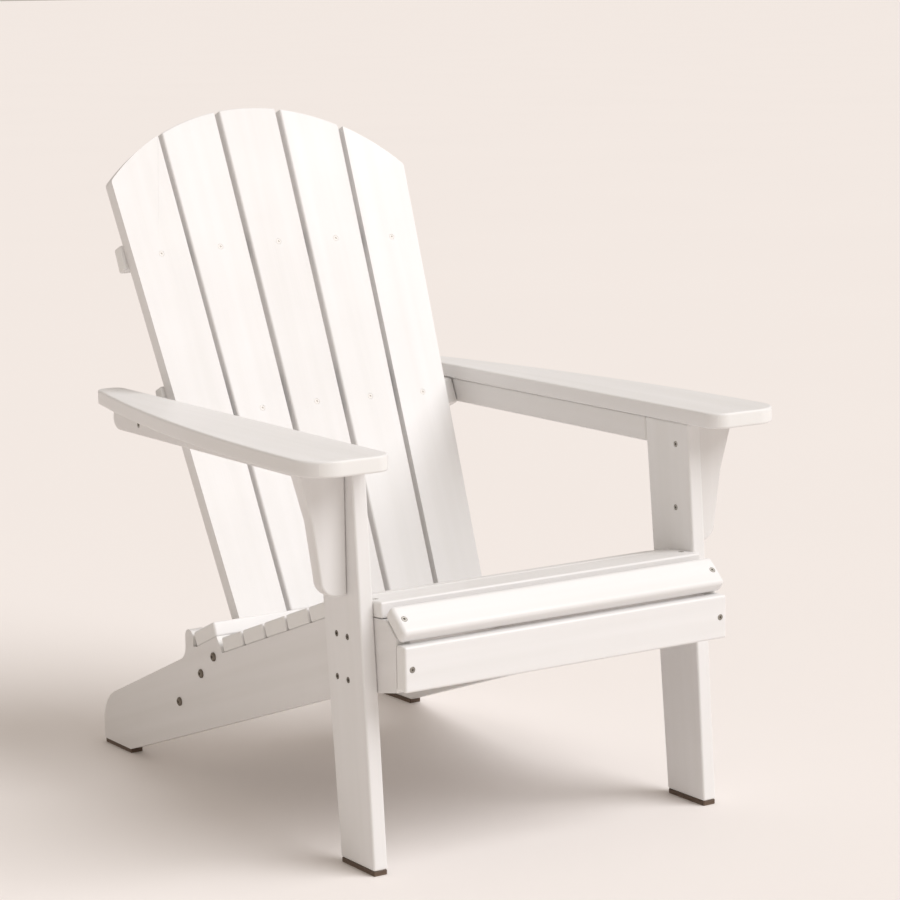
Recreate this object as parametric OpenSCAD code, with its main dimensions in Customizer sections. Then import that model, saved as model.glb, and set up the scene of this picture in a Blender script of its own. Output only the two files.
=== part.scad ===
// Adirondack chair in solid plastic lumber boards, screwed together.
// Origin: on the floor, in the middle of the chair. +Z is up and the chair faces -Y.
// Profiles are drawn with y measured from the face of the front apron.

/* [Overall] */
// Width over the outsides of the two side rails, which is also the seat slats' length
seat_w = 528; // [440:1:660]
// Depth from the apron's face to the heel of the rear feet
depth = 872; // [800:1:1040]
// Thickness of every board
board_t = 22; // [18:0.5:28]
// Height of the arms' top face
arm_top_z = 565; // [500:1:680]

/* [Seat] */
// Height of the seat at its front crest
seat_z = 364; // [320:1:430]
// Fall of the seat towards the back, in degrees
seat_fall = 19.8; // [12:0.1:24]
// Radius that eases the level front of the seat into the fall
seat_r = 458; // [300:1:600]
// Width of a seat slat, of the apron and of the rear stretcher
slat_w = 61; // [50:0.5:72]
// Gap between two seat slats
slat_gap = 4.5; // [3:0.5:10]
// Number of seat slats behind the nose slat
seat_slats = 7; // [5:1:7]
// Distance from the apron's face to the first seat slat
seat_y = 57; // [56:1:75]
// Width of the slat over the apron
nose_w = 47; // [40:0.5:56]
// Slope of the slat over the apron, in degrees
nose_lean = 42; // [35:1:50]

/* [Back] */
// Lean of the back from upright, in degrees
back_lean = 23.9; // [15:0.1:32]
// Length of the middle back slat
back_len = 786; // [650:1:960]
// Width of a back slat at its foot
back_w_low = 79.5; // [65:0.5:95]
// Width of a back slat at its top, before the arch is cut
back_w_top = 100; // [80:0.5:120]
// Gap between two back slats
back_gap = 7; // [4:0.5:14]
// Radius of the arch over the top of the back
arch_r = 364; // [300:1:500]
// Radius of the corner at each end of the arch
arch_corner_r = 9; // [6:1:25]
// Height of the slats' feet above the floor
back_foot_z = 250; // [240:1:262]
// Distance from the apron's face to the slats' feet
back_foot_y = 526; // [522:1:600]

/* [Back braces] */
// Height of the upper brace's middle along the back
upper_brace_v = 567; // [480:1:620]
// Width of the upper brace
upper_brace_w = 38; // [32:1:70]
// Width of the middle brace, which carries the rear of the arms
middle_brace_w = 74; // [60:1:90]
// Width of the sill that the slats stand on
sill_w = 66; // [55:1:75]
// How far the sill stands out in front of the slats
sill_front = 14; // [8:1:18]
// Width of the cross board under the sill
cross_w = 76; // [66:1:84]

/* [Front legs] */
// Width of a leg at its foot
leg_w_low = 84; // [70:1:110]
// Width of a leg at its top
leg_w_top = 98; // [80:1:125]
// Distance from the apron's face to the front of a leg's foot
leg_y = 50; // [45:1:70]
// How far the top of a leg leans back past its foot
leg_lean = 37; // [0:1:60]

/* [Arms] */
// Greatest width of an arm
arm_w = 125; // [105:1:150]
// Gap between a rail's outer face and an arm's inner edge, inwards
arm_overhang = 4; // [0:1:12]
// Distance from the apron's face to the arms' front edge
arm_front_y = 20; // [5:1:40]
// Length of an arm
arm_len = 770; // [740:1:860]
// Radius of the long outer edge
arm_side_r = 3100; // [2600:10:5000]
// Height of the rail under an arm
arm_rail_h = 36; // [28:1:50]
// Width of a bracket at the arm
bracket_w = 73; // [60:1:90]
// Width of a bracket at its foot
bracket_foot_w = 40; // [30:1:55]
// Height of a bracket
bracket_h = 174; // [140:1:178]
// Distance from a leg's front edge to its bracket
bracket_set = 18; // [6:1:24]

/* [Side rails] */
// Height of a rail's underside at the apron
rail_nose_z = 251; // [235:1:270]
// Slope of a rail's underside, in degrees
rail_rise = 18.8; // [15:0.1:22]
// Slope of the top of the rear foot, in degrees
haunch_fall = 23.1; // [20:0.1:26]
// Radius of the heel
heel_r = 60; // [40:1:70]
// Length of the rear foot's flat
foot_len = 86; // [70:1:110]
// Thickness of the glide under each foot
glide_t = 7; // [4:0.5:10]

/* [Fasteners] */
// Diameter of a wood screw's shank
screw_d = 4.5; // [3.5:0.1:6]
// Diameter of a wood screw's head
head_d = 8.5; // [7:0.1:11]
// Height of a wood screw's head
head_h = 2.6; // [2:0.1:4]
// Diameter of a cross bolt's shank
bolt_d = 6; // [5:0.1:8]
// Diameter of a cross bolt's head
bolt_head_d = 13; // [10:0.1:16]
// Height of a cross bolt's head
bolt_head_h = 3.2; // [2.5:0.1:5]
// Room round a fastener in its hole
fastener_room = 0.15; // [0.1:0.05:0.4]

/* [Hidden] */
$fn = 48;
half_w = seat_w / 2;
rail_in = half_w - board_t;
leg_out = half_w + board_t;
arm_low_z = arm_top_z - board_t;
arm_in = half_w - arm_overhang;
leg_h = arm_low_z - glide_t;
nose_low_z = seat_z - nose_w * sin(nose_lean) + 0.5;
apron_gap = 1.5;
apron_top_z = nose_low_z - board_t * cos(nose_lean) - apron_gap;
rail_front_y = board_t;
seat_arc = seat_r * seat_fall * PI / 180;
seat_pitch = slat_w + slat_gap;
seat_end = seat_slats * seat_pitch;
arch_v = back_len - arch_r;
middle_brace_v = (arm_low_z - back_foot_z - arm_rail_h + board_t * sin(back_lean)) / cos(back_lean);
horn_r = 12;
horn_z = 219;
sill_gap = 1;
cross_tilt = 39.7;
cross_y = back_foot_y + 7;
cross_z = back_foot_z - 62;
haunch_h = 64.5;
nose_belly_y = 14;
nose_belly_z = 7;
bracket_waist = 0.42;
bracket_cove = 5;
foot_round = 0.6;
nape_r = 25;
arm_front_r = 46;
arm_nose_r = 26;
arm_tail_r = 18;
arc_steps = 16;
screw_len = 38;
arm_screw_len = arm_rail_h + board_t * 0.6;
dowel_d = 10;
dowel_up = 13;
dowel_down = 22;
bolt_len = 62;
step = 0.01;
SIDES = ["left", "right"];
SEAT_NODES = [for (i = [1:seat_slats]) str("seat_slat_", i)];
BACK_NODES = [for (i = [1:5]) str("back_slat_", i)];

// ---- Helpers ----

// Points of an arc from angle a to angle b
function arc(cx, cy, r, a, b, n = arc_steps) =
    [for (i = [0:n]) [cx + r * cos(a + (b - a) * i / n), cy + r * sin(a + (b - a) * i / n)]];

// Angle and place of the seat's top line at distance s behind its front crest
function seat_angle(s) = min(s, seat_arc) / seat_r * 180 / PI;
function seat_point(s, sink = 0) =
    let (a = seat_angle(s), run = max(0, s - seat_arc))
    [seat_y + (seat_r - sink) * sin(a) + run * cos(a),
     seat_z - seat_r + (seat_r - sink) * cos(a) - run * sin(a)];

// Moves a shape drawn with y from the apron's face into the chair's frame
module from_front() {
    translate([0, -depth / 2, 0]) children();
}

// A board cut to a (y, z) outline, whose inner face is at x on the right side
module side_board(x, outline) {
    from_front() translate([x, 0, 0]) rotate([90, 0, 90])
        linear_extrude(board_t) polygon(outline);
}

module on_side(side) {
    mirror([side == "left" ? 1 : 0, 0, 0]) children();
}

// A wood screw along +Z with the top of its head at the origin, and its hole
module screw(len = screw_len) {
    translate([0, 0, -head_h]) cylinder(d = head_d, h = head_h);
    translate([0, 0, -len]) cylinder(d = screw_d, h = len - head_h + step);
}
module screw_hole(len = screw_len) {
    room = 2 * fastener_room;
    translate([0, 0, -head_h - fastener_room]) cylinder(d = head_d + room, h = head_h + 1);
    translate([0, 0, -len - 1]) cylinder(d = screw_d + room, h = len);
}
// A hidden dowel across the face at z = 0, and its hole
module dowel() {
    translate([0, 0, -dowel_down]) cylinder(d = dowel_d, h = dowel_down + dowel_up);
}
module dowel_hole() {
    room = fastener_room;
    translate([0, 0, -dowel_down - room])
        cylinder(d = dowel_d + 2 * room, h = dowel_down + dowel_up + 2 * room);
}
// A cross bolt with a low round head that stands on the board
module bolt() {
    cylinder(d = bolt_head_d, h = bolt_head_h);
    translate([0, 0, -bolt_len]) cylinder(d = bolt_d, h = bolt_len + step);
}
module bolt_hole() {
    translate([0, 0, -bolt_len - 1]) cylinder(d = bolt_d + 2 * fastener_room, h = bolt_len + 2);
}

// ---- The back's own frame: x across, y into the back, z up along the slats ----

module in_back() {
    from_front() translate([0, back_foot_y, back_foot_z]) rotate([-back_lean, 0, 0]) children();
}
function slat_width(v) = back_w_low + (back_w_top - back_w_low) * v / back_len;
function slat_x(k, v) = k * (slat_width(v) + back_gap);

// The cross board's own frame: x across and y down its width
module in_cross() {
    from_front() translate([0, cross_y, cross_z]) rotate([-cross_tilt, 0, 0]) children();
}

// ---- Where the fasteners go ----

// Leg screws form a square in the rail's depth, arm screws are evenly spaced along the arm's rail
leg_screw_y = leg_y + 56;
leg_screw_z = rail_nose_z + 4;
LEG_SCREWS = [for (y = [0, 27], z = [0, 58]) [leg_screw_y + y, leg_screw_z + z]];
BRACKET_SCREWS = [for (share = [0.18, 0.7]) arm_low_z - bracket_h * share];
ARM_DOWELS = [for (share = [0.32, 0.75]) leg_y + leg_lean + leg_w_top * share];
arm_screw_y = leg_y + 170;
arm_screw_step = 140;
ARM_SCREW_Y = [for (i = [0:3]) arm_screw_y + i * arm_screw_step];
brace_row_v = 20;
BACK_ROWS = [middle_brace_v + brace_row_v, upper_brace_v];
row_sag = 2;
seat_screw_x = half_w - board_t / 2;
bracket_y = leg_y + leg_lean + bracket_set - 2;
arm_rail_end = arm_front_y + arm_len - 25;
stretcher_y = depth - 251;
stretcher_z = 116;

module leg_screw_spots() {
    for (p = LEG_SCREWS) from_front() translate([leg_out, p[0], p[1]]) rotate([0, 90, 0]) children();
}
module bracket_screw_spots() {
    for (z = BRACKET_SCREWS) from_front()
        translate([half_w, bracket_y + board_t / 2, z]) rotate([0, -90, 0]) children();
}
module arm_dowel_spots() {
    for (y = ARM_DOWELS) from_front() translate([half_w + board_t / 2, y, arm_low_z]) children();
}
module arm_screw_spots() {
    for (y = ARM_SCREW_Y) from_front()
        translate([half_w + board_t / 2, y, arm_low_z - arm_rail_h]) rotate([180, 0, 0]) children();
}
module seat_screw_spots() {
    for (i = [1:seat_slats]) on_seat((i - 0.5) * seat_pitch - slat_gap / 2)
        translate([seat_screw_x, 0, 0]) children();
    on_nose() translate([seat_screw_x, 0, 0]) children();
    in_back() translate([seat_screw_x, sill_w - sill_front - board_t / 2, 0]) children();
}
module apron_screw_spots() {
    from_front() translate([seat_screw_x, 0, apron_top_z - slat_w / 2]) rotate([90, 0, 0]) children();
}
module back_screw_spots(k) {
    // The rows sag a little towards the outer slats, as the slats fan out
    for (v = BACK_ROWS) let (u = v - row_sag * k * k * v / back_len)
        in_back() translate([slat_x(k, u), 0, u]) rotate([90, 0, 0]) children();
}
module brace_end_screw_spots() {
    in_back() translate([leg_out, board_t * 1.5, middle_brace_v + board_t])
        rotate([0, 90, 0]) children();
}
module sill_screw_spots(k) {
    for (side = [-1, 1]) in_back()
        translate([slat_x(k, 0) + side * back_w_low / 4, board_t / 2, -board_t])
            rotate([180, 0, 0]) children();
}
module cross_bolt_spots() {
    for (n = [-cross_w / 3, cross_w / 3]) in_cross() translate([half_w, n, 0])
        rotate([0, 90, 0]) children();
}
module stretcher_bolt_spots() {
    from_front() translate([half_w, stretcher_y, stretcher_z]) rotate([0, 90, 0]) children();
}

// ---- Side rails ----

function rail_outline() =
    let (chamfer_z = nose_low_z - board_t / cos(nose_lean),
         top_z = seat_z - board_t,
         foot_y = depth - foot_len,
         under_y = rail_front_y + 178,
         under_z = glide_t + (foot_y - under_y) * tan(rail_rise),
         haunch_z = glide_t + haunch_h,
         seat_stop = seat_end + 1,
         sill_ends = [for (n = [-sill_front - sill_gap, sill_w - sill_front])
             [back_foot_y + n * cos(back_lean) - board_t * sin(back_lean),
              back_foot_z - n * sin(back_lean) - board_t * cos(back_lean)]],
         horn_y = back_foot_y + (sill_w - sill_front) * cos(back_lean) + sill_gap + horn_r,
         nape_y = horn_y + horn_r + nape_r,
         nape_z = haunch_z + (depth - nape_y) * tan(haunch_fall) + nape_r / cos(haunch_fall),
         heel_z = haunch_z - heel_r * tan((90 - haunch_fall) / 2))
    concat(
        [[rail_front_y, rail_nose_z], [rail_front_y, chamfer_z + rail_front_y * tan(nose_lean)]],
        [[(top_z - chamfer_z) / tan(nose_lean), top_z]],
        [for (i = [0:arc_steps]) seat_point(seat_arc * i / arc_steps, board_t)],
        [seat_point(seat_stop, board_t)],
        sill_ends,
        [[horn_y - horn_r, sill_ends[1][1] - 1]],
        arc(horn_y, horn_z, horn_r, 180, 0),
        arc(nape_y, nape_z, nape_r, 180, 270 - haunch_fall, 6),
        arc(depth - heel_r, heel_z, heel_r, 90 - haunch_fall, 0),
        [[depth, glide_t], [foot_y, glide_t], [under_y, under_z]],
        [[(under_y + rail_front_y) / 2 - nose_belly_y, (under_z + rail_nose_z) / 2 + nose_belly_z]]);

module side_rail(side) {
    color("whitesmoke") on_side(side) difference() {
        side_board(rail_in, rail_outline());
        leg_screw_spots() screw_hole();
        seat_screw_spots() screw_hole();
        apron_screw_spots() screw_hole();
        cross_bolt_spots() bolt_hole();
        stretcher_bolt_spots() bolt_hole();
    }
}

// ---- Front legs ----

function leg_outline() = [
    [leg_y, glide_t], [leg_y + leg_w_low, glide_t],
    [leg_y + leg_lean + leg_w_top, arm_low_z], [leg_y + leg_lean, arm_low_z]];

module front_leg(side) {
    color("whitesmoke") on_side(side) difference() {
        side_board(half_w, leg_outline());
        leg_screw_spots() screw_hole();
        bracket_screw_spots() screw_hole();
        arm_dowel_spots() dowel_hole();
    }
}

// ---- Arms, their rails and their brackets ----

function arm_outline() =
    let (side_x = arm_in + arm_w,
         front = arm_front_y,
         end = front + arm_len,
         bow_y = front + arm_front_r,
         tail_a = asin((arm_len - arm_front_r - arm_tail_r) / arm_side_r),
         tail_x = side_x - arm_side_r * (1 - cos(tail_a)))
    concat(
        arc(arm_in + arm_nose_r, front + arm_nose_r, arm_nose_r, 180, 270),
        arc(side_x - arm_front_r, front + arm_front_r, arm_front_r, 270, 360),
        arc(side_x - arm_side_r, bow_y, arm_side_r, 0, tail_a, 12),
        arc(tail_x - arm_tail_r, end - arm_tail_r, arm_tail_r, tail_a, 90),
        arc(arm_in + arm_tail_r, end - arm_tail_r, arm_tail_r, 90, 180));

module arm(side) {
    color("white") on_side(side) difference() {
        from_front() translate([0, 0, arm_low_z]) linear_extrude(board_t) polygon(arm_outline());
        arm_screw_spots() screw_hole(arm_screw_len);
        arm_dowel_spots() dowel_hole();
    }
}

// y of a leg's rear edge at height z
function leg_rear(z) = leg_y + leg_w_low + (leg_lean + leg_w_top - leg_w_low) * (z - glide_t) / leg_h;

function arm_rail_outline() =
    let (low = arm_low_z - arm_rail_h, r = arm_rail_h / 2, gap = 0.5)
    concat([[leg_rear(arm_low_z) + gap, arm_low_z], [leg_rear(low) + gap, low]],
        arc(arm_rail_end - r, low + r, r, 270, 450, 16));

module arm_rail(side) {
    color("whitesmoke") on_side(side) difference() {
        side_board(half_w, arm_rail_outline());
        arm_screw_spots() screw_hole(arm_screw_len);
        brace_end_screw_spots() screw_hole();
    }
}

function bracket_outline() =
    let (low = arm_low_z - bracket_h, x = leg_out, r = bracket_foot_w * foot_round)
    concat([[x, arm_low_z], [x, low]],
        arc(x + bracket_foot_w - r, low + r, r, 270, 360),
        [[x + (bracket_w + bracket_foot_w) / 2 - bracket_cove, arm_low_z - bracket_h * bracket_waist]],
        [[x + bracket_w, arm_low_z]]);

module arm_bracket(side) {
    color("whitesmoke") on_side(side) difference() {
        from_front() translate([0, bracket_y + board_t, 0]) rotate([90, 0, 0])
            linear_extrude(board_t) polygon(bracket_outline());
        bracket_screw_spots() screw_hole();
    }
}

// ---- Seat ----

// Places a slat's middle on the seat's top line, with +Z out of the seat
module on_seat(s) {
    from_front() translate([0, seat_point(s)[0], seat_point(s)[1]])
        rotate([-seat_angle(s), 0, 0]) children();
}
// Places the nose slat's middle on the line that leans over the apron
module on_nose() {
    from_front() translate([0, 0, nose_low_z]) rotate([nose_lean, 0, 0])
        translate([0, nose_w / 2, 0]) children();
}
module slat_board(w = slat_w) {
    translate([-half_w, -w / 2, -board_t]) cube([seat_w, w, board_t]);
}
module both_sides() {
    children();
    mirror([1, 0, 0]) children();
}

module seat_slat(i) {
    color("white") difference() {
        on_seat((i - 0.5) * seat_pitch - slat_gap / 2) slat_board();
        both_sides() seat_screw_spots() screw_hole();
    }
}

module nose_slat() {
    color("white") difference() {
        on_nose() slat_board(nose_w);
        both_sides() seat_screw_spots() screw_hole();
    }
}

module front_apron() {
    color("white") difference() {
        from_front() translate([-half_w, 0, apron_top_z - slat_w]) cube([seat_w, board_t, slat_w]);
        both_sides() apron_screw_spots() screw_hole();
    }
}

// ---- Back ----

module back_slat(k) {
    low = slat_width(0) / 2;
    top = slat_width(back_len) / 2;
    color("white") difference() {
        in_back() intersection() {
            rotate([90, 0, 0]) translate([0, 0, -board_t]) linear_extrude(board_t) polygon([
                [slat_x(k, 0) - low, 0], [slat_x(k, 0) + low, 0],
                [slat_x(k, back_len) + top, back_len], [slat_x(k, back_len) - top, back_len]]);
            rotate([90, 0, 0]) translate([0, 0, -board_t - 1]) linear_extrude(board_t + 2) arch();
        }
        back_screw_spots(k) screw_hole();
        sill_screw_spots(k) screw_hole();
    }
}
// Everything under the arch, with a small radius where it meets the outer edges
module arch() {
    c = arch_corner_r;
    r = arch_r - c;
    low = slat_x(2, 0) + slat_width(0) / 2;
    m = (slat_x(2, back_len) + slat_width(back_len) / 2 - low) / back_len;
    // The corner's centre is c inside the edge line and c inside the arch
    k = low - c * sqrt(1 + m * m) + m * arch_v;
    w = (sqrt(k * k * m * m - (1 + m * m) * (k * k - r * r)) - k * m) / (1 + m * m);
    cx = k + m * w;
    cv = arch_v + w;
    tilt = atan(m);
    up = atan2(w, cx);
    past = 0.05;
    side_x = cx + c * cos(tilt) + past;
    side_v = cv - c * sin(tilt) - 10 * past;
    polygon(concat(
        [[-arch_r, -1], [arch_r, -1], [arch_r, side_v], [side_x, side_v]],
        arc(cx, cv, c, -tilt, up, 6),
        arc(0, arch_v, arch_r, up, 180 - up, 40),
        arc(-cx, cv, c, 180 - up, 180 + tilt, 6),
        [[-side_x, side_v], [-arch_r, side_v]]));
}

// A brace on the back of the slats, from height v upwards
module brace_board(half, v, w) {
    in_back() translate([-half, board_t, v]) cube([2 * half, board_t, w]);
}
module all_back_screw_spots() {
    for (k = [-2:2]) back_screw_spots(k) children();
}

module upper_back_brace() {
    half = slat_x(2, upper_brace_v) + slat_width(upper_brace_v) / 2 + 6;
    color("whitesmoke") difference() {
        brace_board(half, upper_brace_v - upper_brace_w / 2, upper_brace_w);
        all_back_screw_spots() screw_hole();
    }
}
module middle_back_brace() {
    shoulder = 18;
    color("whitesmoke") difference() {
        brace_board(half_w - 1, middle_brace_v, middle_brace_w);
        both_sides() from_front() translate([arm_in - shoulder, 0, arm_low_z])
            cube([arm_w, depth, middle_brace_w]);
        all_back_screw_spots() screw_hole();
        both_sides() brace_end_screw_spots() screw_hole();
    }
}
module back_sill() {
    color("white") difference() {
        in_back() translate([-half_w, -sill_front, -board_t]) cube([seat_w, sill_w, board_t]);
        both_sides() seat_screw_spots() screw_hole();
        for (k = [-2:2]) sill_screw_spots(k) screw_hole();
    }
}
module cross_board() {
    color("whitesmoke") difference() {
        in_cross() translate([-rail_in, -cross_w / 2, -board_t / 2]) cube([2 * rail_in, cross_w, board_t]);
        both_sides() cross_bolt_spots() bolt_hole();
    }
}
module rear_stretcher() {
    color("whitesmoke") difference() {
        from_front() translate([0, stretcher_y, stretcher_z]) rotate([-rail_rise, 0, 0])
            translate([-rail_in, -board_t / 2, -slat_w / 2]) cube([2 * rail_in, board_t, slat_w]);
        both_sides() stretcher_bolt_spots() bolt_hole();
    }
}

// ---- Glides ----

module glide(x, y, len) {
    inset = 1;
    from_front() translate([x + inset, y + inset, 0])
        cube([board_t - 2 * inset, len - 2 * inset, glide_t]);
}
module front_glide(side) {
    color("saddlebrown") on_side(side) glide(half_w, leg_y, leg_w_low);
}
module rear_glide(side) {
    color("saddlebrown") on_side(side) glide(rail_in, depth - foot_len, foot_len);
}

// ---- Fasteners ----

module leg_screws() {
    color("dimgray") both_sides() leg_screw_spots() screw();
}
module seat_screws() {
    color("silver") both_sides() seat_screw_spots() screw();
}
module apron_screws() {
    color("silver") both_sides() apron_screw_spots() screw();
}
module back_slat_screws() {
    color("silver") all_back_screw_spots() screw();
}
module arm_screws() {
    color("silver") both_sides() arm_screw_spots() screw(arm_screw_len);
}
module arm_dowels() {
    color("tan") both_sides() arm_dowel_spots() dowel();
}
module bracket_screws() {
    color("silver") both_sides() bracket_screw_spots() screw();
}
module brace_end_screws() {
    color("silver") both_sides() brace_end_screw_spots() screw();
}
module sill_screws() {
    color("silver") for (k = [-2:2]) sill_screw_spots(k) screw();
}
module cross_bolts() {
    color("dimgray") both_sides() cross_bolt_spots() bolt();
}
module stretcher_bolts() {
    color("dimgray") both_sides() stretcher_bolt_spots() bolt();
}

// ---- Parts ----

for (side = SIDES) {
    side_rail(side);
    front_leg(side);
    arm(side);
    arm_rail(side);
    arm_bracket(side);
    front_glide(side);
    rear_glide(side);
}
for (i = [1:seat_slats]) seat_slat(i);
for (i = [1:5]) back_slat(i - 3);
front_apron();
nose_slat();
upper_back_brace();
middle_back_brace();
back_sill();
cross_board();
rear_stretcher();
leg_screws();
seat_screws();
apron_screws();
back_slat_screws();
arm_screws();
arm_dowels();
bracket_screws();
brace_end_screws();
sill_screws();
cross_bolts();
stretcher_bolts();
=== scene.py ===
import math
import random

import bmesh
import bpy
from mathutils import Matrix, Vector


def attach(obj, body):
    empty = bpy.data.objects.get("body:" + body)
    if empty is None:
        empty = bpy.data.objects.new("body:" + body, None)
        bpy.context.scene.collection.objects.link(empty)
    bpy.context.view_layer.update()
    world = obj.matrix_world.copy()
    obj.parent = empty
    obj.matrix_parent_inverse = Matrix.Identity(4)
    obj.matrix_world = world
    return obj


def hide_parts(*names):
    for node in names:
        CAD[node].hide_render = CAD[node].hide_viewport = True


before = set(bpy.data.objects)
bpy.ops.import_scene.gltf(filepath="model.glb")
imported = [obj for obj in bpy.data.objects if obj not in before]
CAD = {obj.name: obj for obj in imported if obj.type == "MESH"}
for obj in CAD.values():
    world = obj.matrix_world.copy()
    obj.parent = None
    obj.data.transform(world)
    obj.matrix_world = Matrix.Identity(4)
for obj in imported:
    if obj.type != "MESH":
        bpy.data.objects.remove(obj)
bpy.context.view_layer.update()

MM = 0.001

# ---------------------------------------------------------------- colours and node helpers


def rgb(hex_code):
    """A colour picked as sRGB hex, as Blender's linear values."""
    def linear(c):
        return c / 12.92 if c <= 0.04045 else ((c + 0.055) / 1.055) ** 2.4
    h = hex_code.lstrip("#")
    return [linear(int(h[i:i + 2], 16) / 255) for i in (0, 2, 4)] + [1.0]


def add(tree, kind, settings=None, **feeds):
    """One node, with its settings (attributes, or inputs by name) and what feeds its inputs.

    A feed is a number, a socket, or several sockets for an input that takes more than one.
    """
    n = tree.nodes.new(kind)
    for key, value in (settings or {}).items():
        if isinstance(key, str) and key.islower() and hasattr(n, key):
            setattr(n, key, value)
        else:
            n.inputs[key].default_value = value
    for key, source in feeds.items():
        target = int(key[1:]) if key[0] == "_" else key.replace("_", " ")
        if isinstance(source, (int, float)):
            n.inputs[target].default_value = source
            continue
        for socket in source if isinstance(source, tuple) else (source,):
            tree.links.new(socket, n.inputs[target])
    return n


def material(name):
    m = bpy.data.materials.new(name)
    m.use_nodes = True
    m.node_tree.nodes.clear()
    return m, m.node_tree


def finish_material(t, shader):
    add(t, "ShaderNodeOutputMaterial", Surface=shader)


# ---------------------------------------------------------------- materials

# Pattern scales are in cycles per metre, since board_uv and Object coordinates are in metres.
EMBOSS_ACROSS = 420      # fine grain lines, about 2.4 mm apart
EMBOSS_ALONG = 9         # each line runs for some 110 mm
STREAK_ACROSS = 38       # broad pale streaks, about 26 mm apart
STREAK_ALONG = 1.6       # each streak runs for some 600 mm
SAW_LINES = 900          # tooth marks on sawn ends, about 1.1 mm apart
SAW_SWEEP = 30           # each mark runs for some 33 mm
PEEL = 700               # the skin's slight orange peel, about 1.4 mm
SHEEN_PATCH = 6          # patches of duller skin, about 170 mm
STEEL_FILM = 900         # blotches on the steel, about 1.1 mm
STEEL_GRAIN = 4200       # the steel's tumbled surface, about 0.24 mm
COAT_TEXTURE = 2600      # the powder coat's texture, about 0.4 mm
GLIDE_GRIT = 1300        # the glides' moulded grit, about 0.8 mm
PAPER_CLOUD = 0.8        # the studio paper's unevenness, over a metre across
SCUFF_HEIGHT = 0.003     # the scuffs reach 3 mm up the glides


def lumber_material():
    """White plastic lumber: solid polyethylene, satin skin with faint embossed grain, sawn ends."""
    m, t = material("white_hdpe_lumber")
    uv = add(t, "ShaderNodeUVMap", {"uv_map": "board_uv"}).outputs["UV"]
    place = add(t, "ShaderNodeTexCoord").outputs["Object"]
    sawn = add(t, "ShaderNodeAttribute", {"attribute_name": "sawn"}).outputs["Fac"]
    tone = add(t, "ShaderNodeAttribute", {"attribute_name": "tone"}).outputs["Fac"]

    along = add(t, "ShaderNodeMapping", {"Scale": (EMBOSS_ALONG, EMBOSS_ACROSS, 1)}, Vector=uv)
    grain = add(t, "ShaderNodeTexNoise", {"Scale": 1, "Detail": 3, "Roughness": 0.55},
                Vector=along.outputs["Vector"])
    streak_at = add(t, "ShaderNodeMapping", {"Scale": (STREAK_ALONG, STREAK_ACROSS, 1)}, Vector=uv)
    streak = add(t, "ShaderNodeTexNoise", {"Scale": 1, "Detail": 2}, Vector=streak_at.outputs["Vector"])
    peel = add(t, "ShaderNodeTexNoise", {"Scale": PEEL, "Detail": 2}, Vector=place)
    cut_at = add(t, "ShaderNodeMapping", {"Scale": (SAW_LINES, SAW_SWEEP, 1)}, Vector=uv)
    cut = add(t, "ShaderNodeTexNoise", {"Scale": 1, "Detail": 2}, Vector=cut_at.outputs["Vector"])
    cloud = add(t, "ShaderNodeTexNoise", {"Scale": SHEEN_PATCH, "Detail": 3}, Vector=place)

    shade = add(t, "ShaderNodeMapRange", {"From Min": 0.3, "From Max": 0.7, "To Min": 0, "To Max": 1},
                Value=streak.outputs["Fac"])
    base = add(t, "ShaderNodeMix", {"data_type": "RGBA", 6: rgb("#e6e5e4"), 7: rgb("#ebeaea")},
               _0=shade.outputs["Result"])
    toned = add(t, "ShaderNodeMix", {"data_type": "RGBA", "blend_type": "MULTIPLY", 7: rgb("#f8f7f6")},
                _0=tone, _6=base.outputs[2])
    ends = add(t, "ShaderNodeMix", {"data_type": "RGBA", 7: rgb("#e9e8e6")},
               _0=sawn, _6=toned.outputs[2])

    skin_rough = add(t, "ShaderNodeMapRange",
                     {"From Min": 0.3, "From Max": 0.7, "To Min": 0.40, "To Max": 0.52},
                     Value=cloud.outputs["Fac"])
    rough = add(t, "ShaderNodeMix", {"data_type": "FLOAT", 3: 0.62},
                _0=sawn, _2=skin_rough.outputs["Result"])

    skin = add(t, "ShaderNodeMix", {"data_type": "FLOAT", 0: 0.3},
               _2=grain.outputs["Fac"], _3=peel.outputs["Fac"])
    height = add(t, "ShaderNodeMix", {"data_type": "FLOAT"}, _0=sawn,
                 _2=skin.outputs[0], _3=cut.outputs["Fac"])
    bump = add(t, "ShaderNodeBump", {"Strength": 0.18, "Distance": 0.0006}, Height=height.outputs[0])

    b = add(t, "ShaderNodeBsdfPrincipled",
            {"IOR": 1.5, "Subsurface Weight": 0.06, "Subsurface Scale": 0.004,
             "Subsurface Radius": (1.0, 0.9, 0.8)},
            Base_Color=ends.outputs[2], Roughness=rough.outputs[0], Normal=bump.outputs["Normal"])
    finish_material(t, b.outputs["BSDF"])
    return m


def steel_material(name, colour, dark, roughness):
    """Fastener steel, turned or tumbled, with a faint blotchy film."""
    m, t = material(name)
    place = add(t, "ShaderNodeTexCoord").outputs["Object"]
    film = add(t, "ShaderNodeTexNoise", {"Scale": STEEL_FILM, "Detail": 4}, Vector=place)
    fine = add(t, "ShaderNodeTexNoise", {"Scale": STEEL_GRAIN, "Detail": 2}, Vector=place)
    base = add(t, "ShaderNodeMix", {"data_type": "RGBA", 6: rgb(colour), 7: rgb(dark)},
               _0=film.outputs["Fac"])
    rough = add(t, "ShaderNodeMapRange", {"To Min": roughness - 0.08, "To Max": roughness + 0.1},
                Value=film.outputs["Fac"])
    bump = add(t, "ShaderNodeBump", {"Strength": 0.2, "Distance": 0.00008}, Height=fine.outputs["Fac"])
    b = add(t, "ShaderNodeBsdfPrincipled", {"Metallic": 1.0},
            Base_Color=base.outputs[2], Roughness=rough.outputs["Result"], Normal=bump.outputs["Normal"])
    finish_material(t, b.outputs["BSDF"])
    return m


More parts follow.
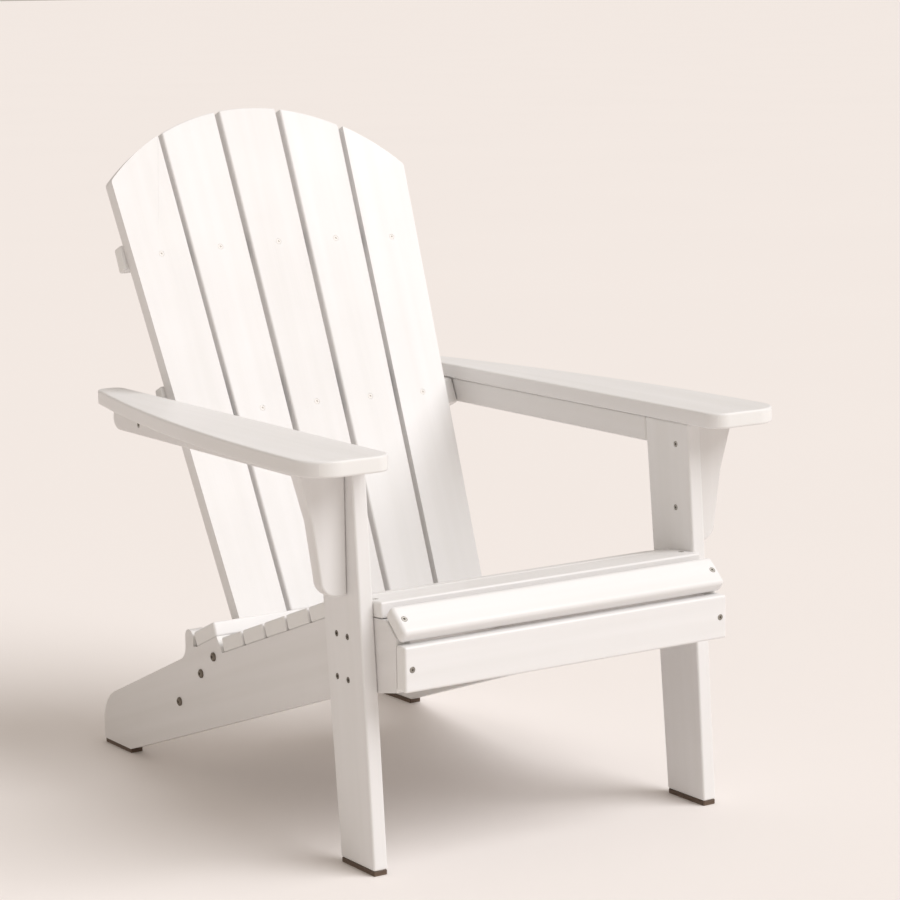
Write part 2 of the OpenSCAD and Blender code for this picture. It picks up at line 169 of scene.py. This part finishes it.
def glide_material():
    """Dark brown moulded polyethylene, scuffed towards the floor."""
    m, t = material("brown_moulded_glide")
    place = add(t, "ShaderNodeTexCoord").outputs["Object"]
    height = add(t, "ShaderNodeSeparateXYZ", Vector=place).outputs["Z"]
    near_floor = add(t, "ShaderNodeMapRange",
                     {"From Min": 0.0, "From Max": SCUFF_HEIGHT, "To Min": 1, "To Max": 0}, Value=height)
    grit = add(t, "ShaderNodeTexNoise", {"Scale": GLIDE_GRIT, "Detail": 3}, Vector=place)
    scuff = add(t, "ShaderNodeMath", {"operation": "MULTIPLY"}, _0=near_floor.outputs["Result"],
                _1=grit.outputs["Fac"])
    base = add(t, "ShaderNodeMix", {"data_type": "RGBA", 6: rgb("#5a483a"), 7: rgb("#85725f")},
               _0=scuff.outputs["Value"])
    bump = add(t, "ShaderNodeBump", {"Strength": 0.25, "Distance": 0.0002}, Height=grit.outputs["Fac"])
    b = add(t, "ShaderNodeBsdfPrincipled", {"Roughness": 0.5},
            Base_Color=base.outputs[2], Normal=bump.outputs["Normal"])
    finish_material(t, b.outputs["BSDF"])
    return m


def coated_material():
    """White powder coat on the back's screw heads, to match the boards."""
    m, t = material("white_coated_screw")
    place = add(t, "ShaderNodeTexCoord").outputs["Object"]
    coat = add(t, "ShaderNodeTexNoise", {"Scale": COAT_TEXTURE, "Detail": 2}, Vector=place)
    base = add(t, "ShaderNodeMix", {"data_type": "RGBA", 6: rgb("#e3dfda"), 7: rgb("#ebe8e4")},
               _0=coat.outputs["Fac"])
    bump = add(t, "ShaderNodeBump", {"Strength": 0.15, "Distance": 0.0001}, Height=coat.outputs["Fac"])
    b = add(t, "ShaderNodeBsdfPrincipled", {"Roughness": 0.38},
            Base_Color=base.outputs[2], Normal=bump.outputs["Normal"])
    finish_material(t, b.outputs["BSDF"])
    return m


def floor_material():
    """Seamless pale studio paper."""
    m, t = material("studio_paper")
    place = add(t, "ShaderNodeTexCoord").outputs["Object"]
    cloud = add(t, "ShaderNodeTexNoise", {"Scale": PAPER_CLOUD, "Detail": 2}, Vector=place)
    base = add(t, "ShaderNodeMix", {"data_type": "RGBA", 6: rgb("#eee9e6"), 7: rgb("#f0ebe8")},
               _0=cloud.outputs["Fac"])
    b = add(t, "ShaderNodeBsdfPrincipled", {"Roughness": 0.9, "Specular IOR Level": 0.1},
            Base_Color=base.outputs[2])
    finish_material(t, b.outputs["BSDF"])
    return m


LUMBER = lumber_material()
SCREW_STEEL = steel_material("stainless_screw", "#b4b0a9", "#8d8982", 0.34)
BOLT_STEEL = steel_material("darkened_bolt", "#8b8378", "#6a6259", 0.4)
LEG_STEEL = steel_material("weathered_screw", "#8b857c", "#67625a", 0.42)
GLIDE = glide_material()
COATED = coated_material()

# ---------------------------------------------------------------- fasteners' axes, from the CAD


WELD = 0.01 * MM          # points closer than this are one point


def cad_copy(node):
    """An editable copy of a CAD node's mesh in the row frame."""
    src = CAD[node]
    bm = bmesh.new()
    bm.from_mesh(src.data)
    bmesh.ops.transform(bm, matrix=src.matrix_world, verts=bm.verts)
    bmesh.ops.remove_doubles(bm, verts=bm.verts, dist=WELD)
    return bm


def islands(node):
    """The separate solids of a CAD node, each as a list of points in the row frame."""
    bm = cad_copy(node)
    seen, found = set(), []
    for start in bm.verts:
        if start in seen:
            continue
        stack, group = [start], []
        seen.add(start)
        while stack:
            v = stack.pop()
            group.append(v.co.copy())
            for e in v.link_edges:
                w = e.other_vert(v)
                if w not in seen:
                    seen.add(w)
                    stack.append(w)
        found.append(group)
    bm.free()
    return found


def fastener_axis(points):
    """Where a fastener's head top is, which way it faces and the head's radius."""
    mid = sum(points, Vector()) / len(points)
    far = max(points, key=lambda p: (p - mid).length)
    # The long axis is the direction between the centres of the two end rings.
    axis = (far - mid).normalized()
    for _ in range(8):
        hi = [p for p in points if (p - mid).dot(axis) > 0]
        lo = [p for p in points if (p - mid).dot(axis) <= 0]
        axis = (sum(hi, Vector()) / len(hi) - sum(lo, Vector()) / len(lo)).normalized()
    along = [(p - mid).dot(axis) for p in points]
    top, bottom = max(along), min(along)

    def radius(at):
        ring = [p for p, a in zip(points, along) if abs(a - at) < 1e-4]
        return max(((p - mid) - axis * (p - mid).dot(axis)).length for p in ring)
    if radius(bottom) > radius(top):
        axis, top, bottom = -axis, -bottom, -top
        along = [-a for a in along]
    return mid + axis * top, axis, radius(top), top - bottom


SCREW_NODES = ["leg_screws", "seat_screws", "apron_screws", "back_slat_screws", "arm_screws",
               "bracket_screws", "brace_end_screws", "sill_screws"]
BOLT_NODES = ["cross_bolts", "stretcher_bolts"]
AXES = {n: [fastener_axis(p) for p in islands(n)] for n in SCREW_NODES + BOLT_NODES + ["arm_dowels"]}

# ---------------------------------------------------------------- boards

ROUND = 3.4 * MM                 # the roundover that runs along every board's edges
NOSE_ROUND = 6.5 * MM            # the nose slat's, which is fuller
GLIDE_ROUND = 1.2 * MM
DOWEL_ROUND = 0.8 * MM
FLAT = math.radians(0.4)         # faces that turn less than this are one face
ARRIS = math.radians(28)         # edges of a board that turn more than this are rounded over
MOULDED_EDGE = math.radians(40)  # the same for glides and dowels


def near_fastener(a, b):
    """True if an edge belongs to a screw or dowel hole."""
    for group in AXES.values():
        for top, axis, radius, length in group:
            reach = radius + 0.9 * MM
            if all(((p - top) - axis * (p - top).dot(axis)).length < reach
                   and -length - 2 * MM < (p - top).dot(axis) < 2 * MM for p in (a, b)):
                return True
    return False


def board_frame(bm):
    """A board's own length, width and thickness directions."""
    big = max(bm.faces, key=lambda f: f.calc_area())
    thick = big.normal.copy()
    loose = max((e for e in bm.edges if abs((e.verts[1].co - e.verts[0].co).dot(thick)) < 1e-4),
                key=lambda e: e.calc_length())
    long = (loose.verts[1].co - loose.verts[0].co).normalized()
    if max(long, key=abs) < 0:
        long = -long
    return long, thick.cross(long).normalized(), thick


def board(node, round_by):
    """A board as it leaves the shop: the CAD's solid with every arris rounded over."""
    bm = cad_copy(node)
    bmesh.ops.dissolve_limit(bm, angle_limit=FLAT, verts=bm.verts, edges=bm.edges)
    long, wide, thick = board_frame(bm)
    arrises, rims = [], []
    for e in bm.edges:
        if len(e.link_faces) != 2 or e.calc_face_angle(0) < ARRIS:
            continue
        a, b = (v.co for v in e.verts)
        (rims if near_fastener(a, b) else arrises).append(e)
    for e in rims:
        e.smooth = False
    bmesh.ops.bevel(bm, geom=arrises, offset=round_by, segments=4, profile=0.5,
                    affect="EDGES", clamp_overlap=True, loop_slide=False)
    uv = bm.loops.layers.uv.new("board_uv")
    sawn = bm.faces.layers.float.new("sawn")
    tone = bm.faces.layers.float.new("tone")
    pick = random.Random(node)
    slide = Vector((pick.uniform(0, 3), pick.uniform(0, 3)))
    value = pick.random()
    for f in bm.faces:
        f.smooth = True
        f[tone] = value
        is_end = abs(f.normal.dot(long)) > 0.8
        is_wide_face = abs(f.normal.dot(thick)) > 0.6
        f[sawn] = 1.0 if is_end else 0.0
        for loop in f.loops:
            p = loop.vert.co
            if is_end:
                at = (p.dot(wide), p.dot(thick))
            else:
                at = (p.dot(long), p.dot(wide if is_wide_face else thick))
            loop[uv].uv = Vector(at) + slide
    finished(bm, node, node + "_board", LUMBER, keep_sharp=True)


def finished(bm, node, label, mat, keep_sharp=False):
    """A worked mesh as the visible piece in place of its CAD node."""
    mesh = bpy.data.meshes.new(label)
    bm.to_mesh(mesh)
    bm.free()
    mesh.materials.append(mat)
    piece = bpy.data.objects.new(label, mesh)
    bpy.context.scene.collection.objects.link(piece)
    even = piece.modifiers.new("even_normals", "WEIGHTED_NORMAL")
    even.keep_sharp = keep_sharp
    even.weight = 60
    hand_over(piece, node)


def hand_over(piece, node):
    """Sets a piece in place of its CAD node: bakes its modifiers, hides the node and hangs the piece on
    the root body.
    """
    settle(piece)
    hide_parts(node)
    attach(piece, "root")


def settle(piece):
    """Turns a piece's modifiers into plain mesh."""
    bpy.context.view_layer.update()
    done = bpy.data.meshes.new_from_object(piece.evaluated_get(bpy.context.evaluated_depsgraph_get()))
    piece.modifiers.clear()
    piece.data = done


SIDES = ("left", "right")
SIDE_BOARDS = ["side_rail", "front_leg", "arm", "arm_rail", "arm_bracket"]
BOARDS = [s + "_" + n for n in SIDE_BOARDS for s in SIDES]
BOARDS += ["front_apron", "nose_slat"]
BOARDS += ["seat_slat_%d" % i for i in range(1, 8)]
BOARDS += ["back_slat_%d" % i for i in range(1, 6)]
BOARDS += ["upper_back_brace", "middle_back_brace", "back_sill", "cross_board", "rear_stretcher"]
for name in BOARDS:
    board(name, NOSE_ROUND if name == "nose_slat" else ROUND)

# ---------------------------------------------------------------- fasteners


SCREW_SIZES = {"Head radius": 4.25 * MM, "Head height": 2.6 * MM, "Shank radius": 2.25 * MM,
               "Length": 38 * MM, "Recess radius": 1.9 * MM}
BOLT_HEAD = 3.2 * MM
BOLT_SIZES = {"Head radius": 6.5 * MM, "Head height": BOLT_HEAD, "Shank radius": 3 * MM,
              "Recess radius": 2.4 * MM}


TIMES = {"operation": "MULTIPLY"}
LESS = {"operation": "SUBTRACT"}


def fastener_tree(name, dome):
    """A tree that sets one fastener on each point, turned to its axis.

    A domed head stands on the surface, and a countersunk one lies below it.
    """
    t = bpy.data.node_groups.new(name, "GeometryNodeTree")
    sockets = t.interface
    sockets.new_socket("Geometry", in_out="INPUT", socket_type="NodeSocketGeometry")
    for label, value in SCREW_SIZES.items():
        size = sockets.new_socket(label, in_out="INPUT", socket_type="NodeSocketFloat")
        size.default_value = value
    sockets.new_socket("Steel", in_out="INPUT", socket_type="NodeSocketMaterial")
    sockets.new_socket("Geometry", in_out="OUTPUT", socket_type="NodeSocketGeometry")
    given = add(t, "NodeGroupInput").outputs

    def drum(sides, lower, upper, depth, z):
        """A cone or cylinder whose base is at height z."""
        cone = add(t, "GeometryNodeMeshCone", {"Vertices": sides},
                   Radius_Top=upper, Radius_Bottom=lower, Depth=depth)
        lift = add(t, "ShaderNodeCombineXYZ", Z=z)
        return add(t, "GeometryNodeTransform", Geometry=cone.outputs["Mesh"],
                   Translation=lift.outputs[0]).outputs["Geometry"]

    radius, height, length = given["Head radius"], given["Head height"], given["Length"]
    below = add(t, "ShaderNodeMath", TIMES, _0=height, _1=-1.0).outputs[0]
    chamfer = add(t, "ShaderNodeMath", TIMES, _0=height, _1=0.45 if dome else 0.14).outputs[0]
    chamfer_below = add(t, "ShaderNodeMath", TIMES, _0=chamfer, _1=-1.0).outputs[0]
    side_height = add(t, "ShaderNodeMath", LESS, _0=height, _1=chamfer).outputs[0]
    inset = add(t, "ShaderNodeMath", TIMES, _0=chamfer, _1=1.4 if dome else 1.0).outputs[0]
    crown_radius = add(t, "ShaderNodeMath", LESS, _0=radius, _1=inset).outputs[0]
    side = drum(40, radius, radius, side_height, 0.0 if dome else below)
    crown = drum(40, radius, crown_radius, chamfer, side_height if dome else chamfer_below)
    head = add(t, "GeometryNodeMeshBoolean", {"operation": "UNION", "solver": "EXACT"},
               Mesh_2=(side, crown))

    recess = given["Recess radius"]
    recess_foot = add(t, "ShaderNodeMath", TIMES, _0=recess, _1=0.85).outputs[0]
    deep = add(t, "ShaderNodeMath", TIMES, _0=height, _1=0.6).outputs[0]
    drop = add(t, "ShaderNodeMath", TIMES, _0=deep, _1=0.98 if dome else -0.98).outputs[0]
    recess_z = add(t, "ShaderNodeMath", LESS, _0=height, _1=drop).outputs[0] if dome else drop
    cut = drum(6, recess_foot, recess, deep, recess_z)
    carved = add(t, "GeometryNodeMeshBoolean", {"operation": "DIFFERENCE", "solver": "EXACT"},
                 Mesh_1=head.outputs["Mesh"], Mesh_2=cut)

    shank_radius = given["Shank radius"]
    tip_radius = add(t, "ShaderNodeMath", TIMES, _0=shank_radius, _1=1.0 if dome else 0.55).outputs[0]
    tip_z = add(t, "ShaderNodeMath", TIMES, _0=length, _1=-1.0).outputs[0]
    shank_length = add(t, "ShaderNodeMath", LESS, _0=length, _1=0.0 if dome else height).outputs[0]
    shank = drum(20, tip_radius, shank_radius, shank_length, tip_z)
    whole = add(t, "GeometryNodeJoinGeometry", Geometry=(carved.outputs["Mesh"], shank))

    axis = add(t, "GeometryNodeInputNamedAttribute", {"data_type": "FLOAT_VECTOR", "Name": "axis"})
    upright = add(t, "FunctionNodeAlignRotationToVector", {"axis": "Z"}, Vector=axis.outputs["Attribute"])
    spin = add(t, "FunctionNodeRandomValue", {"data_type": "FLOAT", "Max": math.tau, "Seed": 7})
    about = add(t, "FunctionNodeAxisAngleToRotation", {"Axis": (0, 0, 1)}, Angle=spin.outputs["Value"])
    turned = add(t, "FunctionNodeRotateRotation", {"rotation_space": "LOCAL"},
                 Rotation=upright.outputs["Rotation"], Rotate_By=about.outputs["Rotation"])
    place = add(t, "GeometryNodeInstanceOnPoints", Points=given["Geometry"], Instance=whole.outputs[0],
                Rotation=turned.outputs["Rotation"])
    real = add(t, "GeometryNodeRealizeInstances", Geometry=place.outputs["Instances"])
    paint = add(t, "GeometryNodeSetMaterial", Geometry=real.outputs["Geometry"], Material=given["Steel"])
    add(t, "NodeGroupOutput", Geometry=paint.outputs["Geometry"])
    return t


def fasteners(node, tree, steel, values, drop=0.0):
    """The visible screws or bolts for one CAD group."""
    mesh = bpy.data.meshes.new(node + "_points")
    mesh.from_pydata([top - axis * drop for top, axis, _, _ in AXES[node]], [], [])
    turns = mesh.attributes.new("axis", "FLOAT_VECTOR", "POINT")
    for i, (_, axis, _, _) in enumerate(AXES[node]):
        turns.data[i].vector = axis
    piece = bpy.data.objects.new(node + "_made", mesh)
    bpy.context.scene.collection.objects.link(piece)
    mod = piece.modifiers.new("set_on_points", "NODES")
    mod.node_group = tree
    values = dict(values, Steel=steel)
    for item in tree.interface.items_tree:
        if item.item_type == "SOCKET" and item.in_out == "INPUT" and item.name in values:
            mod[item.identifier] = values[item.name]
    hand_over(piece, node)


SCREW = fastener_tree("countersunk_screw", dome=False)
BOLT = fastener_tree("button_bolt", dome=True)
SPAN = {name: AXES[name][0][3] for name in SCREW_NODES + BOLT_NODES}
for name in SCREW_NODES:
    steel = {"leg_screws": LEG_STEEL, "back_slat_screws": COATED}.get(name, SCREW_STEEL)
    fasteners(name, SCREW, steel, {"Length": SPAN[name]})
for name in BOLT_NODES:
    sizes = dict(BOLT_SIZES, Length=SPAN[name] - BOLT_HEAD)
    fasteners(name, BOLT, BOLT_STEEL, sizes, drop=BOLT_HEAD)

# ---------------------------------------------------------------- glides and dowels


def moulded(node, mat, round_by):
    """A glide or a dowel: the CAD's solid with its sharp edges softened."""
    bm = cad_copy(node)
    bmesh.ops.dissolve_limit(bm, angle_limit=FLAT, verts=bm.verts, edges=bm.edges)
    sharp = [e for e in bm.edges if e.calc_face_angle(0) > MOULDED_EDGE]
    bmesh.ops.bevel(bm, geom=sharp, offset=round_by, segments=3, profile=0.5, affect="EDGES",
                    clamp_overlap=True)
    for f in bm.faces:
        f.smooth = True
    finished(bm, node, node + "_made", mat)


for side in SIDES:
    moulded(side + "_front_glide", GLIDE, GLIDE_ROUND)
    moulded(side + "_rear_glide", GLIDE, GLIDE_ROUND)
moulded("arm_dowels", LUMBER, DOWEL_ROUND)

# ---------------------------------------------------------------- floor, light and camera


KEY_AZIMUTH, KEY_HEIGHT = math.radians(36), math.radians(46)   # to the chair's front right
KEY_SOFTNESS = math.radians(46)                                # as wide as a large softbox nearby


def studio():
    """Pale paper under the chair, an even warm fill and one soft key light."""
    bpy.ops.mesh.primitive_circle_add(vertices=64, radius=120, fill_type="NGON", location=(0, 0, 0))
    ground = bpy.context.object
    ground.name = "studio_floor"
    ground.data.materials.append(floor_material())

    world = bpy.data.worlds.new("studio")
    world.use_nodes = True
    sky = world.node_tree.nodes["Background"]
    sky.inputs["Color"].default_value = rgb("#f2e8de")
    sky.inputs["Strength"].default_value = 0.6
    bpy.context.scene.world = world

    light = bpy.data.lights.new("key_softbox", "SUN")
    light.energy = 2.3
    light.angle = KEY_SOFTNESS
    light.color = rgb("#fdfdff")[:3]
    lamp = bpy.data.objects.new("key_softbox", light)
    towards = Vector((math.sin(KEY_AZIMUTH) * math.cos(KEY_HEIGHT),
                      -math.cos(KEY_AZIMUTH) * math.cos(KEY_HEIGHT), math.sin(KEY_HEIGHT)))
    lamp.rotation_euler = towards.to_track_quat("Z", "Y").to_euler()
    bpy.context.scene.collection.objects.link(lamp)


CAMERA_AT = (-2.2014, -3.4930, 1.1778)
CAMERA_YAW, CAMERA_PITCH, CAMERA_ROLL = (math.radians(a) for a in (-33.34, -9.50, -0.83))
CAMERA_LENS = 115.612     # mm, on a sensor 36 mm wide


def photo_camera():
    """The camera fitted to the chair's edges: about 4.2 m from its middle, to its front left."""
    ahead = Vector((-math.sin(CAMERA_YAW) * math.cos(CAMERA_PITCH),
                    math.cos(CAMERA_YAW) * math.cos(CAMERA_PITCH), math.sin(CAMERA_PITCH)))
    right = Vector((math.cos(CAMERA_YAW), math.sin(CAMERA_YAW), 0))
    up = right.cross(ahead)
    turned_right = right * math.cos(CAMERA_ROLL) + up * math.sin(CAMERA_ROLL)
    turned_up = up * math.cos(CAMERA_ROLL) - right * math.sin(CAMERA_ROLL)
    data = bpy.data.cameras.new("photo_camera")
    data.lens = CAMERA_LENS
    data.sensor_width = 36
    data.clip_end = 400
    cam = bpy.data.objects.new("photo_camera", data)
    turn = Matrix((turned_right, turned_up, -ahead)).transposed().to_4x4()
    cam.matrix_world = Matrix.Translation(CAMERA_AT) @ turn
    bpy.context.scene.collection.objects.link(cam)
    bpy.context.scene.camera = cam


studio()
photo_camera()
bpy.context.scene.view_settings.view_transform = "Standard"
